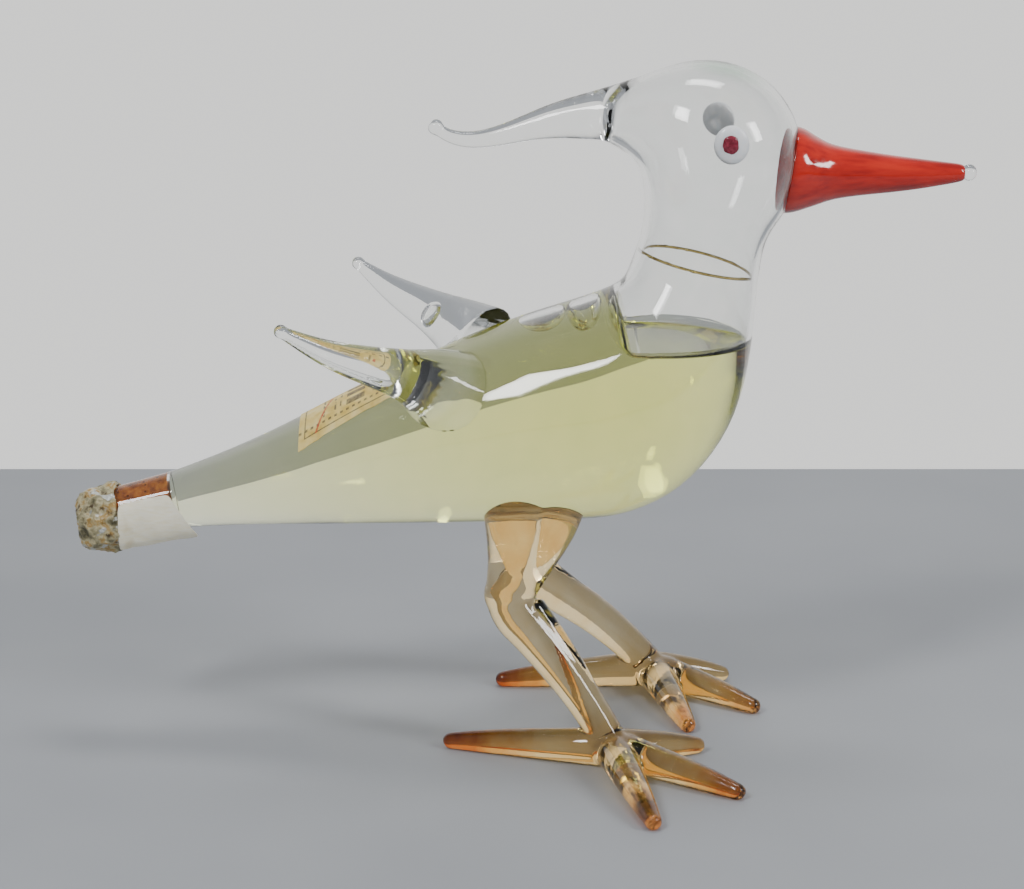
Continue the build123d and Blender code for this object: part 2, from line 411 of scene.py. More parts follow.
# %% The rod tool
STEPS_A_ROW = 12  # steps along a rod from one row to the next
ROUND = 10  # bevel resolution: a rod's section has twice this plus four sides
ROOT = 0.2  # how deep a melted-on root sits in the glass, mm


def draw_rod(name, rows):
    """A rod through rows of x, y, z, radius in millimetres."""
    start_fresh()
    bpy.ops.curve.primitive_nurbs_path_add()
    rod = bpy.context.object
    rod.data.splines.clear()
    spline = rod.data.splines.new("NURBS")
    spline.points.add(len(rows) - 1)
    for point, (x, y, z, radius) in zip(spline.points, rows):
        point.co = (x * MM, y * MM, z * MM, 1)
        point.radius = radius
    spline.order_u = 3
    spline.use_endpoint_u = True
    rod.data.bevel_depth = MM
    rod.data.bevel_resolution = ROUND
    rod.data.resolution_u = STEPS_A_ROW
    rod.data.use_fill_caps = True
    select(rod)
    bpy.ops.object.convert(target="MESH")
    return name_piece(name)


def melt(piece, voxel, smoothing=8):
    """Weld what is in the piece and let it flow together; voxel is in millimetres."""
    apply_modifier(piece, "REMESH", mode="VOXEL", voxel_size=voxel * MM)
    apply_modifier(piece, "SMOOTH", factor=0.5, iterations=smoothing)
    select(piece)
    bpy.ops.object.shade_smooth()


def trimmed_to_glass(piece):
    """Cut away what would reach through the wall, just under the outer skin."""
    cut(piece, grow_tube("cutter", OUTSIDE, inset=ROOT))
    crease(piece, 35)


print("rod tools ready, roots sit", ROOT, "mm deep")

# %% [markdown]
# ## Wings
#
# Each wing is a gather of clear rod, pressed on the side and pulled out backwards and up until it
# tears off the flame with a small drop at its end. A bubble of air stayed in one of them: a ball cut
# out of solid glass is such a bubble, because its faces then point into the air.

# %% Wings
WINGS = {
    "left": [
        (-7.5, 7.5, 69.5, 7.5), (-11.0, 10.8, 71.4, 6.0), (-15.5, 13.6, 73.6, 4.2),
        (-22.4, 17.8, 76.5, 2.8), (-27.0, 20.8, 79.0, 1.7), (-30.2, 22.8, 81.2, 1.0),
    ],
    "right": [
        (-12.0, -8.0, 63.6, 8.6), (-15.5, -11.0, 66.4, 7.0), (-19.8, -13.8, 68.9, 4.6),
        (-25.5, -16.6, 71.0, 3.6), (-32.0, -19.8, 73.6, 2.6), (-37.5, -22.4, 76.7, 1.6),
        (-40.9, -24.2, 79.0, 1.0),
    ],
}
WING_DROP = 1.25
TRAPPED_AIR = ((-15.9, 13.2, 73.4), (1.9, 1.7, 1.7))
for side, rows in WINGS.items():
    wing = draw_rod(f"glass_wing_{side}", rows)
    tip = ball("tip", rows[-1][:3], [WING_DROP] * 3)
    wing = join(f"glass_wing_{side}", tip, wing)
    melt(wing, voxel=0.3)
    trimmed_to_glass(wing)
    if side == "left":
        cut(wing, ball("trapped_air", *TRAPPED_AIR, 24, 12))
    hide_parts(f"wing_{side}")
    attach(wing, "bottle")
    print(faces_of(wing))

# %% [markdown]
# ## Legs
#
# A thick gather of glass is pressed on the belly, drawn down to the knee, folded and drawn on to
# the foot, and four toes are pulled out of the last gather. It is all one piece of glass by then,
# so each leg is one mesh.

# %% Rows of both legs
LEGS = {
    "left": {
        "thigh_back": [
            (2.6, 7.4, 48.0, 6.2), (1.8, 9.0, 42.5, 6.0), (0.6, 11.2, 37.5, 5.4),
            (-0.8, 13.2, 32.0, 4.5), (-1.4, 14.0, 28.0, 4.2),
        ],
        "thigh_front": [
            (9.4, 7.2, 48.0, 5.4), (7.4, 9.2, 42.0, 5.0), (4.0, 11.8, 36.0, 4.3),
            (0.4, 13.6, 30.5, 3.8), (-1.0, 14.0, 28.0, 3.8),
        ],
        "shin": [
            (-1.4, 14.0, 28.0, 4.2), (-0.4, 14.3, 25.4, 4.2), (4.1, 15.4, 22.0, 3.9),
            (12.4, 17.4, 16.2, 3.6), (19.0, 19.8, 9.8, 3.2), (23.4, 21.6, 4.6, 3.1),
            (24.2, 21.9, 3.4, 3.2),
        ],
        "ridge": [
            (3.0, 15.4, 26.0, 2.2), (7.0, 16.0, 22.2, 2.3), (14.0, 18.0, 16.4, 2.1),
            (20.0, 20.2, 10.4, 1.8),
        ],
        "knee": ((-1.4, 14.0, 28.0), 4.3),
        "hub": (24.2, 21.9),
        "toes": [(-28.0, -0.8), (13.6, 2.4), (18.2, -15.6), (5.6, -25.5)],
    },
    "right": {
        "thigh_back": [
            (-1.2, -6.6, 48.0, 6.6), (-0.8, -8.0, 42.6, 6.4), (-0.9, -10.2, 38.0, 5.7),
            (-1.6, -11.8, 33.0, 4.8), (-2.4, -12.0, 28.8, 4.5),
        ],
        "thigh_front": [
            (6.6, -6.4, 48.0, 5.6), (5.4, -8.0, 42.6, 5.2), (2.8, -10.4, 37.6, 4.6),
            (-0.4, -11.8, 32.4, 4.0), (-2.2, -12.0, 28.8, 4.0),
        ],
        "shin": [
            (-2.6, -12.0, 29.0, 4.3), (-2.0, -12.6, 26.0, 4.4), (1.4, -13.8, 22.6, 4.1),
            (6.6, -16.0, 16.6, 3.6), (11.4, -18.3, 10.2, 3.2), (14.8, -19.9, 4.8, 3.1),
            (15.4, -20.2, 3.4, 3.2),
        ],
        "ridge": [
            (1.2, -13.0, 27.0, 2.5), (5.0, -14.6, 22.0, 2.4), (9.6, -17.0, 15.6, 2.1),
            (13.2, -19.0, 9.6, 1.8),
        ],
        "knee": ((-2.6, -12.0, 28.9), 4.5),
        "hub": (15.4, -20.2),
        "toes": [(-28.4, 8.6), (15.4, 6.2), (21.0, -15.9), (6.0, -29.4)],
    },
}
RODS = ("thigh_back", "thigh_front", "shin", "ridge")
TOE_SHAPE = [  # share of the toe's length, and radius
    (0.0, 3.1), (0.12, 3.3), (0.3, 3.0), (0.6, 2.5), (0.85, 1.95), (1.0, 1.5),
]
HUB_HEIGHT, HUB_RADII = 3.1, (4.2, 4.2, 3.2)
PRESSED = 0.2  # how much of a toe was pressed flat on the marver, mm
for side, leg_rows in LEGS.items():
    print(side, "toes are", [round(Vector(toe).length, 1) for toe in leg_rows["toes"]], "mm long")

# %% [markdown]
# ## Melting a leg together
#
# The thigh is two rods side by side, which leaves the soft groove between them. A ball makes the
# knee, a flat ball the hub of the foot, and each toe is a tapered rod with a round end. All of it
# is joined and melted, and then pressed flat on a plate so that the bird stands: a box below the
# floor is cut off the soles.

# %% Both legs with their toes
for side, leg_rows in LEGS.items():
    rods = [draw_rod(name, leg_rows[name]) for name in RODS]
    knee, knee_radius = leg_rows["knee"]
    rods.append(ball("knee", knee, [knee_radius] * 3))
    hub_x, hub_y = leg_rows["hub"]
    rods.append(ball("hub", (hub_x, hub_y, HUB_HEIGHT), HUB_RADII))
    for dx, dy in leg_rows["toes"]:
        rows = [
            (hub_x + dx * share, hub_y + dy * share, radius - PRESSED, radius)
            for share, radius in TOE_SHAPE
        ]
        tip = ball("tip", rows[-1][:3], [TOE_SHAPE[-1][1]] * 3)
        rods.extend([draw_rod("toe", rows), tip])
    leg = join(f"glass_leg_{side}", *rods)
    melt(leg, voxel=0.36)
    start_fresh()
    bpy.ops.mesh.primitive_cube_add(size=1.0, location=(0, 0, -10 * MM), scale=(0.2, 0.2, 20 * MM))
    cut(leg, name_piece("table_top"))
    trimmed_to_glass(leg)
    names = ["thigh", "shin", "toe_hind", "toe_inner", "toe_middle", "toe_outer"]
    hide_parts(*[f"{name}_{side}" for name in names])
    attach(leg, "bottle")
    print(faces_of(leg))

# %% [markdown]
# ## Beak
#
# The beak is opaque red glass, which is melted on while soft, so its base spreads over the head.
# Then it is drawn to a point, and a drop of clear glass closes it. It is round about one line, so
# it is grown ring by ring like the bottle, and its base is cut to the shape of the head.

# %% Beak and its clear drop
BEAK_RINGS = [
    (43.6, 102.4, 7.3, 7.3, -9), (46.2, 102.3, 7.8, 7.8, -8), (48.2, 102.2, 7.2, 7.2, -6),
    (49.8, 102.1, 6.4, 6.4, -3), (51.6, 102.0, 5.6, 5.6, -1), (53.6, 101.9, 4.7, 4.7, 0),
    (58.3, 101.8, 3.95, 3.95, 0), (63.5, 101.6, 3.3, 3.3, 0), (68.8, 101.6, 2.65, 2.65, 1),
    (73.0, 101.7, 2.0, 2.0, 2), (75.8, 101.8, 1.6, 1.6, 1), (76.6, 101.8, 1.2, 1.2, 0),
]
beak = grow_tube("red_beak", BEAK_RINGS)
trimmed_to_glass(beak)
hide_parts("beak")
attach(beak, "bottle")
drop = ball("beak_drop", (77.3, 0, 101.85), (1.35, 1.45, 1.45))
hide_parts("beak_tip")
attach(drop, "bottle")
print(faces_of(beak))

# %% [markdown]
# ## Eyes
#
# An eye is two dots touched on with thin sticks of enamel glass, a white one and a smaller maroon
# one. A soft dot is a flattened ball. The maroon one came out uneven, so clouds displace it.

# %% Eyes
WHITE = ((34.9, 14.5, 109.0), (3.0, 1.05, 3.3))
PUPIL = ((34.7, 15.35, 109.1), (1.4, 0.45, 1.6))
for side, sign in (("left", 1), ("right", -1)):
    (x, y, z), radii = WHITE
    white = ball(f"enamel_white_{side}", (x, sign * y, z), radii)
    apply_modifier(white, "SMOOTH", factor=0.3, iterations=2)
    (x, y, z), radii = PUPIL
    pupil = ball(f"enamel_pupil_{side}", (x, sign * y, z), radii, 32, 16)
    lumps = bpy.data.textures.new(f"lumps_{side}", type="CLOUDS")
    lumps.noise_scale = 0.9 * MM
    displace(pupil, lumps, 0.35)
    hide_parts(f"eye_white_{side}")
    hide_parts(f"pupil_{side}")
    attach(white, "bottle")
    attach(pupil, "bottle")
    print(faces_of(white), "and", faces_of(pupil))

# %% [markdown]
# ## The ring of dried liqueur
#
# Liqueur that stood higher has dried and left a brown line of sugar round the inside of the neck.
# It is a slice of the neck's inner wall, cut out with two planes and given a thickness inwards.

# %% Ring of dried liqueur
def slice_between(piece, point, normal, width):
    """Keep what lies between a plane and another one, width millimetres along its normal."""
    edit(piece)
    normal = Vector(normal).normalized()
    for offset, inner in ((0.0, True), (width, False)):
        bpy.ops.mesh.select_all(action="SELECT")
        place = (Vector(point) + normal * offset) * MM
        bpy.ops.mesh.bisect(plane_co=place, plane_no=normal, clear_inner=inner, clear_outer=not inner)
    bpy.ops.mesh.select_all(action="SELECT")
    bpy.ops.mesh.delete_loose()
    bpy.ops.object.mode_set(mode="OBJECT")


RING_TILT = radians(77)  # the bottle stood a little tipped while the liqueur dried
NECK = BODY_RINGS[-6:] + HEAD_RINGS[:3]
tide = grow_tube("dried_film", NECK, inset=WALL, close_start=False, close_end=False)
slice_between(tide, (30.4, 0, 85.8), (cos(RING_TILT), 0, sin(RING_TILT)), 0.5)
apply_modifier(tide, "SOLIDIFY", thickness=0.12 * MM, offset=-1.0)
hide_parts("dried_ring")
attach(tide, "bottle")
print(faces_of(tide))

# %% [markdown]
# ## The tail's end
#
# A small cork closes the tail. Over it sit the crumpled remains of a seal of foil, paper and wax,
# and a strip of cream paper hangs loose under the glass. The gold label is glued on top of the
# tail. They all follow the tail's axis, so rings square to that axis are the first thing needed.

# %% Places along the tail
TAIL = radians(13)
MOUTH = Vector((-73.7, 0, 40.2))


def along_tail(distance, radius):
    """A ring square to the tail's axis, distance millimetres from the mouth."""
    return (MOUTH.x + cos(TAIL) * distance, MOUTH.z + sin(TAIL) * distance, radius, radius, degrees(TAIL))


print("the mouth is at", [round(value, 1) for value in MOUTH], "mm")

# %% [markdown]
# ## Cork
#
# The cork was cut a little larger than the bore and squeezed in, so it touches the glass all
# round. As with the liqueur, its skin is sunk into the glass, by 0.15 mm, which leaves no air
# between the two.

# %% Cork
CORK = [  # distance from the mouth, and radius
    (-0.6, 2.9), (-0.5, 3.4), (0.0, 3.52), (0.6, 3.55), (6.0, 3.55),
    (10.8, 3.6), (11.2, 3.6), (11.4, 3.6), (11.5, 3.5),
]
cork = grow_tube("bottle_cork", [along_tail(*row) for row in CORK])
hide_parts("cork")
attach(cork, "cork")
print(faces_of(cork))

# %% [markdown]
# ## Crumpled seal
#
# The mouth was once wrapped in waxed paper and foil. What is left is a crumpled cap over the cork
# and the rim. Its rings go over the rim, turn round and close in front of the cork, which gives the
# cap its thickness. A Voronoi texture then folds it, and finer clouds crease it.

# %% Crumpled seal
SEAL = [  # distance from the mouth, and radius
    (-0.9, 2.5), (-0.9, 4.6), (-0.6, 5.2), (1.2, 5.2), (2.2, 5.3), (2.3, 5.7), (1.0, 6.0),
    (-0.6, 6.1), (-2.2, 6.0), (-3.6, 5.6), (-4.8, 4.9), (-5.6, 3.8), (-6.0, 2.2),
]
SAG = 0.7  # how far the seal has slipped down, mm
seal = grow_tube("crumpled_seal", [along_tail(*row) for row in SEAL], levels=3)
select(seal)
bpy.ops.transform.translate(value=(0, 0, -SAG * MM))
seal = name_piece("crumpled_seal")
folds = bpy.data.textures.new("folds", type="VORONOI")
folds.noise_scale = 3.2 * MM
displace(seal, folds, 1.5, mid_level=0.55)
creases = bpy.data.textures.new("creases", type="CLOUDS")
creases.noise_scale = 1.1 * MM
creases.noise_depth = 3
displace(seal, creases, 0.7)
apply_modifier(seal, "SMOOTH", factor=0.4, iterations=1)
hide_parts("seal_cap")
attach(seal, "seal")
print(faces_of(seal))

# %% [markdown]
# ## Strip of paper
#
# A torn strip of cream paper, left from the wrapping, still clings to the tail near the mouth,
# curled round its right-hand side. One point is drawn out into the curve of its end, and that curve
# is drawn out along the tail in short steps, each a little flatter than the last. The far end is
# torn at a slant.

# %% The curve of the strip's end
STRIP = [
    (-5.2, 43.3), (-5.85, 41.9), (-6.05, 40.2), (-6.0, 38.4), (-5.7, 36.8), (-5.1, 35.4), (-4.2, 34.5),
]
strip_start = MOUTH.x + 1.8
corners = [Vector((strip_start, y, z)) * MM for y, z in STRIP]
start_fresh()
bpy.ops.mesh.primitive_plane_add(size=MM)
strip = bpy.context.object
edit(strip)
bpy.ops.mesh.merge(type="CENTER")
bpy.ops.transform.translate(value=corners[0])
for one, other in zip(corners, corners[1:]):
    bpy.ops.mesh.extrude_vertices_move(TRANSFORM_OT_translate={"value": other - one})
print("the strip is", round(STRIP[0][1] - STRIP[-1][1], 1), "mm high")

# %% The strip, drawn out along the tail and torn off
STEPS = 12
STEP = 15.4 / STEPS
for number in range(STEPS):
    bpy.ops.mesh.select_all(action="DESELECT")
    mesh = bmesh.from_edit_mesh(strip.data)
    reach = max(v.co.x for v in mesh.verts)
    for edge in mesh.edges:
        edge.select = all(v.co.x > reach - NEAR for v in edge.verts)
    bmesh.update_edit_mesh(strip.data)
    lift = 0.23 - 0.10 * number / STEPS
    step = Vector((STEP, 0.05 * sin(number * 1.3), STEP * lift)) * MM
    bpy.ops.mesh.extrude_edges_move(TRANSFORM_OT_translate={"value": step})
bpy.ops.mesh.select_all(action="SELECT")
torn = Vector((1.0, 0, 0.66)).normalized()
bpy.ops.mesh.bisect(plane_co=Vector((-60.2, 0, 41.0)) * MM, plane_no=torn, clear_outer=True)
bpy.ops.object.mode_set(mode="OBJECT")
strip = name_piece("cream_strip")
apply_modifier(strip, "SUBSURF", levels=2, render_levels=2)
wrinkles = bpy.data.textures.new("wrinkles", type="CLOUDS")
wrinkles.noise_scale = 4 * MM
displace(strip, wrinkles, 0.5)
apply_modifier(strip, "SOLIDIFY", thickness=0.14 * MM, offset=0.0)
outward(strip)
crease(strip, 40)
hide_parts("paper_strip")
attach(strip, "bottle")
print(faces_of(strip))

# %% [markdown]
# ## Label
#
# The label is a rectangle of gold paper, glued over the top of the tail. Paper glued to a cone
# follows it exactly, so the label is a piece of the same tube, grown a little larger and cut out
# with planes: two for its ends, two for its sides, and one that drops the half under the tail.

# %% Label
LABEL_START, LABEL_LENGTH, LABEL_HALF = -39.6, 16.6, 8.1
OVER = 0.16  # how far the paper's outer side stands over the glass, mm
TAIL_RINGS = BODY_RINGS[3:9]
label = grow_tube("gold_label", TAIL_RINGS, inset=-OVER, close_start=False, close_end=False, levels=3)
slice_between(label, (LABEL_START, 0, 0), (1, 0, 0), LABEL_LENGTH)
slice_between(label, (0, -LABEL_HALF, 0), (0, 1, 0), 2 * LABEL_HALF)
slice_between(label, (-31.0, 0, 50.0), (-sin(TAIL), 0, cos(TAIL)), 30.0)
apply_modifier(label, "SOLIDIFY", thickness=0.09 * MM, offset=-1.0)
outward(label)
crease(label, 40)
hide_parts("label")
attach(label, "bottle")
print(faces_of(label))

# %% [markdown]
# ## Finishes
#
# Every finish is built from a few nodes. One function turns a hex colour into the linear numbers
# Blender wants, one adds a node with its settings and links, and one adds a texture whose features
# have a real size in millimetres. Textures read Object coordinates, so a bubble or a fibre stays
# on its piece when the piece moves.

# %% Node tools
def linear(hex_colour):
    """An sRGB hex colour as linear red, green, blue and alpha."""
    channels = [int(hex_colour[place:place + 2], 16) / 255 for place in (1, 3, 5)]
    return [c / 12.92 if c <= 0.04045 else ((c + 0.055) / 1.055) ** 2.4 for c in channels] + [1.0]


def add(material, kind, values=None, links=None, **settings):
    """Add one node, set its settings and input values, and link its inputs."""
    node = material.node_tree.nodes.new("ShaderNode" + kind)
    for name, setting in settings.items():
        setattr(node, name, setting)
    for name, value in (values or {}).items():
        node.inputs[name].default_value = value
    for name, source in (links or {}).items():
        material.node_tree.links.new(source, node.inputs[name])
    return node


def surface(name, values):
    """A material, and its Principled surface with these values set."""
    material = bpy.data.materials.new(name)
    material.use_nodes = True
    principled = material.node_tree.nodes["Principled BSDF"]
    for socket, value in values.items():
        principled.inputs[socket].default_value = value
    return material, principled


def feed(material, principled, **sources):
    """Link colour, roughness or height into the surface."""
    links = material.node_tree.links
    if "colour" in sources:
        links.new(sources["colour"], principled.inputs["Base Color"])
    if "roughness" in sources:
        links.new(sources["roughness"], principled.inputs["Roughness"])
    if "height" in sources:
        height, depth = sources["height"]
        bump = add(material, "Bump", {"Strength": 1.0, "Distance": depth * MM}, {"Height": height})
        links.new(bump.outputs["Normal"], principled.inputs["Normal"])


def noise(material, size, detail=2.0, stretch=(1, 1, 1)):
    """Noise whose lumps are about size millimetres, longer along an axis where stretch is bigger."""
    place = add(material, "TexCoord")
    squeeze = {"Scale": [1 / amount for amount in stretch]}
    scaled = add(material, "Mapping", squeeze, {"Vector": place.outputs["Object"]})
    values = {"Scale": 1 / (size * MM), "Detail": detail}
    return add(material, "TexNoise", values, {"Vector": scaled.outputs["Vector"]}).outputs["Fac"]


def ramp(material, source, *stops):
    """Colours along a 0 to 1 value; each stop is a position and a hex colour."""
    node = add(material, "ValToRGB", links={"Fac": source})
    elements = node.color_ramp.elements
    for number, (position, hex_colour) in enumerate(stops):
        element = elements[number] if number < 2 else elements.new(position)
        element.position = position
        element.color = linear(hex_colour)
    return node.outputs["Color"]


def between(material, source, low, high, from_low=0.3, from_high=0.7):
    """Spread a noise's middle range over low to high."""
    limits = {"From Min": from_low, "From Max": from_high, "To Min": low, "To Max": high}
    return add(material, "MapRange", limits, {"Value": source}).outputs["Result"]


def mix(material, factor, one, other, blend="MIX"):
    """Mix two colours by a factor; each may be a socket or a hex colour."""
    node = add(material, "Mix", data_type="RGBA", blend_type=blend)
    links = material.node_tree.links
    for place, value in ((0, factor), (6, one), (7, other)):
        if isinstance(value, str):
            node.inputs[place].default_value = linear(value)
        elif isinstance(value, (int, float)):
            node.inputs[place].default_value = value
        else:
            links.new(value, node.inputs[place])
    return node.outputs[2]


def sums(material, operation, one, other):
    """One sum of two numbers or sockets."""
    node = add(material, "Math", operation=operation)
    for place, value in ((0, one), (1, other)):
        if isinstance(value, (int, float)):
            node.inputs[place].default_value = value
        else:
            material.node_tree.links.new(value, node.inputs[place])
    return node.outputs[0]


def along(material, axis):
    """The distance along one axis, in millimetres."""
    place = add(material, "TexCoord")
    split = add(material, "SeparateXYZ", links={"Vector": place.outputs["Object"]})
    return sums(material, "MULTIPLY", split.outputs[axis], 1 / MM)


def distance_from(material, x, y, z=0.0):
    """The distance from a point, in millimetres."""
    place = add(material, "TexCoord")
    node = add(material, "VectorMath", links={0: place.outputs["Object"]}, operation="DISTANCE")
    node.inputs[1].default_value = Vector((x, y, z)) * MM
    return sums(material, "MULTIPLY", node.outputs["Value"], 1 / MM)


def stripe(material, value, centre, width):
    """1 where value lies within half a width of centre."""
    distance = sums(material, "ABSOLUTE", sums(material, "SUBTRACT", value, centre), 0)
    return sums(material, "LESS_THAN", distance, width / 2)


print("white in linear light:", linear("#FFFFFF"), "and mid grey:", round(linear("#808080")[0], 3))

# %% [markdown]
# ### Glass and liqueur
#
# Lamp-blown soda glass has an index near 1.5 and is a little wavy, because it was turned by hand.
# On the crown, where the blowing tube was melted off, the glass is thicker and greener, which is a
# faint tint here. The liqueur's index is 1.36, like any sweet spirit, and its colour is set as
# absorption, so deep parts are stronger in colour than shallow ones.

# %% Glass and liqueur
GLASS = {"Transmission Weight": 1.0, "IOR": 1.5, "Roughness": 0.0}
SPIRIT = {"Transmission Weight": 1.0, "IOR": 1.36, "Roughness": 0.0}
clear_glass, principled = surface("lamp_blown_clear_glass", GLASS)
waves = noise(clear_glass, 9.0, 1.0, stretch=(3, 1, 1))
smears = noise(clear_glass, 5.0, 4.0)
from_crown = distance_from(clear_glass, 35, 0, 120)
crown_tint = between(clear_glass, from_crown, 0.9, 0.0, 3.0, 8.0)
whole_tint = ramp(clear_glass, smears, (0.3, "#FBFDFC"), (0.7, "#FFFFFF"))
feed(
    clear_glass, principled,
    colour=mix(clear_glass, crown_tint, whole_tint, "#D3E6D9"),
    roughness=between(clear_glass, smears, 0.0, 0.02, 0.5, 0.8),
    height=(waves, 0.12),
)

liqueur_look, principled = surface("pale_yellow_liqueur", SPIRIT)
cloudy = ramp(liqueur_look, noise(liqueur_look, 20), (0.3, "#FEFEF6"), (0.7, "#FFFFFA"))
feed(liqueur_look, principled, colour=cloudy)
absorption = add(liqueur_look, "VolumeAbsorption", {"Color": linear("#F7F7A0"), "Density": 52.0})
output = liqueur_look.node_tree.nodes["Material Output"]
liqueur_look.node_tree.links.new(absorption.outputs["Volume"], output.inputs["Volume"])
print("glass and liqueur ready")

# %% [markdown]
# ### Amber stain
#
# Silver stain makes the legs amber. It sits in the skin of the glass, so it is a colour of the
# surface and no absorption. It is strongest where the toes were heated last, and the toes are dulled
# by handling. Both are measured outwards from the hub of the foot, so each leg has its own material.

# %% Amber glass of the legs
TOE_REACH = 34  # from the hub to past the longest toe, mm
ANKLE = (5.0, 11.0)  # heights between which the foot's finish turns into the leg's, mm
amber_glass = {}
for side, leg_rows in LEGS.items():
    material, principled = surface(f"silver_stained_amber_glass_{side}", GLASS)
    hub_x, hub_y = leg_rows["hub"]
    reach = distance_from(material, hub_x, hub_y)
    clouds = noise(material, 3.5, 3.0)
    patchy = between(material, clouds, -0.12, 0.12)
    share = sums(material, "ADD", sums(material, "DIVIDE", reach, TOE_REACH), patchy)
    toes = ramp(
        material, share, (0.12, "#EBC27C"), (0.4, "#EFCD8C"), (0.62, "#E3A04A"),
        (0.82, "#C4601F"), (0.96, "#86290C"),
    )
    upper = ramp(material, clouds, (0.3, "#EED096"), (0.7, "#F6E2B4"))
    is_leg = between(material, along(material, "Z"), 0.0, 1.0, *ANKLE)
    frosting = between(material, share, 0.02, 0.16, 0.2, 0.9)
    feed(
        material, principled,
        colour=mix(material, is_leg, toes, upper),
        roughness=sums(material, "MULTIPLY", frosting, sums(material, "SUBTRACT", 1.0, is_leg)),
        height=(noise(material, 5.0, 1.0), 0.05),
    )
    amber_glass[side] = material
print("amber glass ready for", sorted(amber_glass))

# %% [markdown]
# ### Red glass, enamel and dried liqueur
#
# The red is an opaque colour glass: the colour is in the melt, with faint streaks along the beak,
# and the surface is as glossy as the clear glass. The eyes are fired enamel dots, and thin white
# enamel lets a little light through, which is what subsurface scattering is for. The dried liqueur
# is a sugar film, see-through brown.

# %% Red glass, enamel, dried liqueur
OPAQUE_GLASS = {"IOR": 1.5, "Roughness": 0.08, "Coat Weight": 0.5, "Coat Roughness": 0.02}
ENAMEL = {"IOR": 1.52, "Roughness": 0.12}
THIN = {"Subsurface Weight": 0.7, "Subsurface Scale": 1.5 * MM, "Subsurface Radius": (1.0, 1.0, 1.0)}
SUGAR = {"IOR": 1.45, "Transmission Weight": 0.7, "Roughness": 0.1}
red_glass, principled = surface("opaque_red_colour_glass", OPAQUE_GLASS)
streaks = noise(red_glass, 1.6, 3.0, stretch=(6, 1, 1))
feed(
    red_glass, principled,
    colour=ramp(red_glass, streaks, (0.3, "#A3120A"), (0.5, "#C41E0F"), (0.72, "#D42B15")),
    roughness=between(red_glass, noise(red_glass, 1.0, 4.0), 0.05, 0.16),
    height=(streaks, 0.06),
)

white_enamel, principled = surface("fired_white_enamel", {**ENAMEL, **THIN})
feed(
    white_enamel, principled,
    colour=ramp(white_enamel, noise(white_enamel, 0.9), (0.3, "#EEF4FC"), (0.7, "#FDFEFF")),
    roughness=between(white_enamel, noise(white_enamel, 0.5), 0.08, 0.2),
)

maroon_enamel, principled = surface("fired_maroon_enamel", ENAMEL)
feed(
    maroon_enamel, principled,
    colour=ramp(maroon_enamel, noise(maroon_enamel, 0.6), (0.3, "#6E1A2A"), (0.7, "#9A3648")),
    roughness=between(maroon_enamel, noise(maroon_enamel, 0.4), 0.08, 0.2),
)

dried_look, principled = surface("dried_liqueur_film", SUGAR)
feed(
    dried_look, principled,
    colour=ramp(dried_look, noise(dried_look, 2.0, 4.0), (0.35, "#A3862E"), (0.6, "#D8C272")),
    roughness=between(dried_look, noise(dried_look, 0.8), 0.08, 0.3),
)
print("red glass, enamel and dried film ready")

# %% [markdown]
# ### Cork, paper and wax
#
# Cork is a light brown with dark pores about a millimetre apart, soaked orange by the
# liqueur. The seal is a crumple of waxed paper and foil: its colour changes from fold to fold, and
# the foil shows through as bright patches. The loose strip is plain uncoated paper with fibres
# and a few stains.

# %% Cork, seal and cream paper
cork_look, principled = surface("liqueur_soaked_cork", {"Roughness": 0.6})
grain = noise(cork_look, 1.2, 6.0)
place = add(cork_look, "TexCoord").outputs["Object"]
pores = add(cork_look, "TexVoronoi", {"Scale": 1 / (1.1 * MM)}, {"Vector": place})
is_pore = between(cork_look, pores.outputs["Distance"], 1.0, 0.0, 0.08, 0.28)
cork_colour = ramp(cork_look, grain, (0.3, "#8E4712"), (0.5, "#BF6B1E"), (0.7, "#D98C33"))
feed(
    cork_look, principled,
    colour=mix(cork_look, is_pore, cork_colour, "#5A2A0C"),
    roughness=between(cork_look, grain, 0.45, 0.8),
    height=(sums(cork_look, "SUBTRACT", grain, is_pore), 0.2),
)

seal_look, principled = surface("crumpled_wax_and_foil_seal", {"Roughness": 0.5})
patches = noise(seal_look, 2.6, 4.0)
fine = noise(seal_look, 0.7, 6.0)
seal_colour = ramp(
    seal_look, patches, (0.32, "#4E4A30"), (0.42, "#8A8260"), (0.5, "#BDB38C"),
    (0.58, "#A98540"), (0.68, "#DDD6BA"),
)
stained = between(seal_look, noise(seal_look, 1.7, 3.0), 0.0, 1.0, 0.58, 0.68)
foil = between(seal_look, noise(seal_look, 2.4, 2.0), 0.0, 1.0, 0.58, 0.62)
feed(
    seal_look, principled,
    colour=mix(seal_look, foil, mix(seal_look, stained, seal_colour, "#4E3D22"), "#CFD1CB"),
    roughness=between(seal_look, fine, 0.28, 0.65),
    height=(sums(seal_look, "ADD", fine, patches), 0.35),
)
seal_look.node_tree.links.new(sums(seal_look, "MULTIPLY", foil, 0.9), principled.inputs["Metallic"])

paper_look, principled = surface("uncoated_cream_paper", {"Roughness": 0.8})
fibres = noise(paper_look, 0.35, 4.0, stretch=(5, 1, 1))
blotches = noise(paper_look, 4.5, 3.0)
clean = ramp(paper_look, fibres, (0.3, "#F8F0D0"), (0.7, "#FFFBE9"))
stains = between(paper_look, blotches, 0.0, 0.75, 0.55, 0.72)
feed(
    paper_look, principled,
    colour=mix(paper_look, stains, clean, "#D8C79A"),
    roughness=between(paper_look, fibres, 0.7, 0.9),
    height=(fibres, 0.05),
)
print("cork, seal and paper ready")

